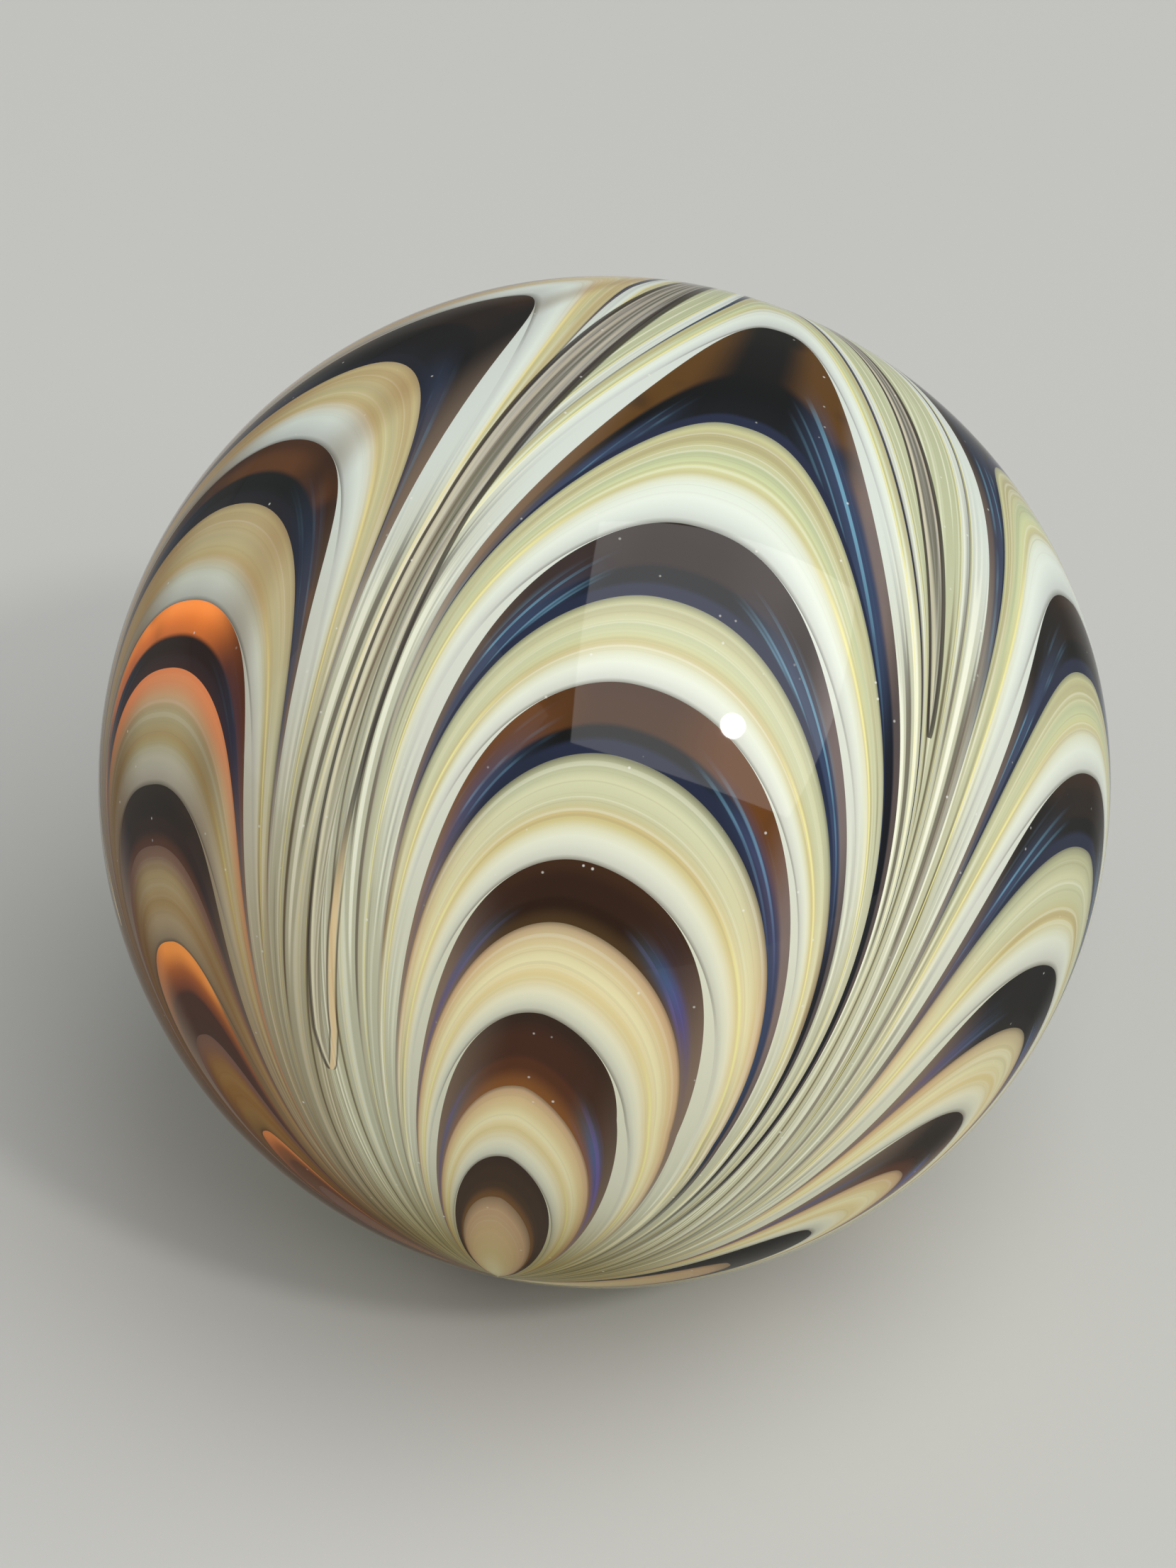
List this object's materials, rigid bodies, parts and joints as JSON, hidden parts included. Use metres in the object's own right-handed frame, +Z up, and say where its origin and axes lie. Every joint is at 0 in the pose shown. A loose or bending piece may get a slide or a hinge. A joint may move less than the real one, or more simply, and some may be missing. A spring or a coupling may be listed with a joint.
{
  "type": "glass marble",
  "caption": "Round solid glass marble, handmade at the lamp, with raked bands of white, cream and tan opaque glass between dark amber bands.",
  "frame": {"origin": "centre of the ball", "axes": "+Z up as the ball lies, +Y away from the front view; the pole that the raked lines run to points forward, down and a little to the left, along about (-0.21, -0.76, -0.62)"},
  "size_m": [0.032, 0.032, 0.032],
  "materials": {
    "raked_glass": "fire polished, opaque pale bands between translucent dark amber bands"
  },
  "bodies": {
    "root": {"marble": "raked_glass"}
  },
  "joints": []
}
